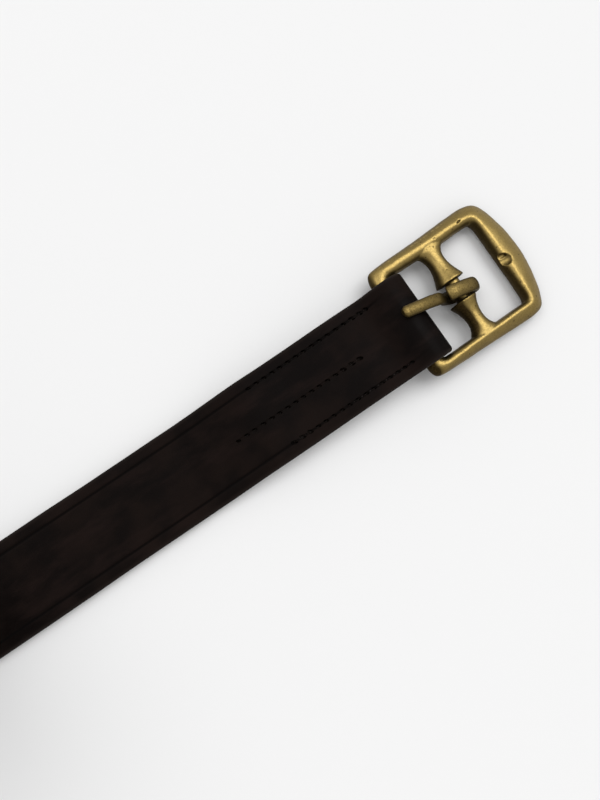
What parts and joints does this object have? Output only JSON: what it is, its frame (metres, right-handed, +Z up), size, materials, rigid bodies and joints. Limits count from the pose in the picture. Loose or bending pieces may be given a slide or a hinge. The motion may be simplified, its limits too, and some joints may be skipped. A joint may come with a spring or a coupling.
{
  "type": "stirrup leather",
  "caption": "Rolled bridle-leather strap sewn round the end bar of a cast brass buckle with a tongue that swings on a centre bar.",
  "frame": {"origin": "on the floor straight below the axis of the buckle's end bar, where the leather loop rests", "axes": "+X along the strap towards the buckle, +Y to the strap's left, +Z up through the grain side"},
  "size_m": [0.2726, 0.0364, 0.0907],
  "materials": {
    "bridle_leather": "dark havana bridle leather, waxed, soft satin sheen",
    "cast_brass": "solid cast brass, tumbled and toned, satin",
    "tongue_brass": "solid brass, duller than the frame, lightly pitted",
    "waxed_thread": "waxed linen thread"
  },
  "bodies": {
    "sewn_strap": {"strap": "bridle_leather", "left_row_needle_thread": "waxed_thread", "left_row_bobbin_thread": "waxed_thread", "centre_row_needle_thread": "waxed_thread", "centre_row_bobbin_thread": "waxed_thread", "right_row_needle_thread": "waxed_thread", "right_row_bobbin_thread": "waxed_thread"},
    "buckle": {"buckle_frame": "cast_brass"},
    "buckle_tongue": {"tongue": "tongue_brass"}
  },
  "joints": [
    {"name": "frame_swing", "type": "hinge", "parent": "sewn_strap", "child": "buckle", "pos_m": [0, 0, 0.006], "axis": [0, 1, 0], "range_deg": [0, 125]},
    {"name": "tongue_swing", "type": "hinge", "parent": "buckle", "child": "buckle_tongue", "pos_m": [0.01753, -0.00035, 0.00441], "axis": [0.0651, 0.9979, -0.0059], "range_deg": [0, 142]}
  ]
}
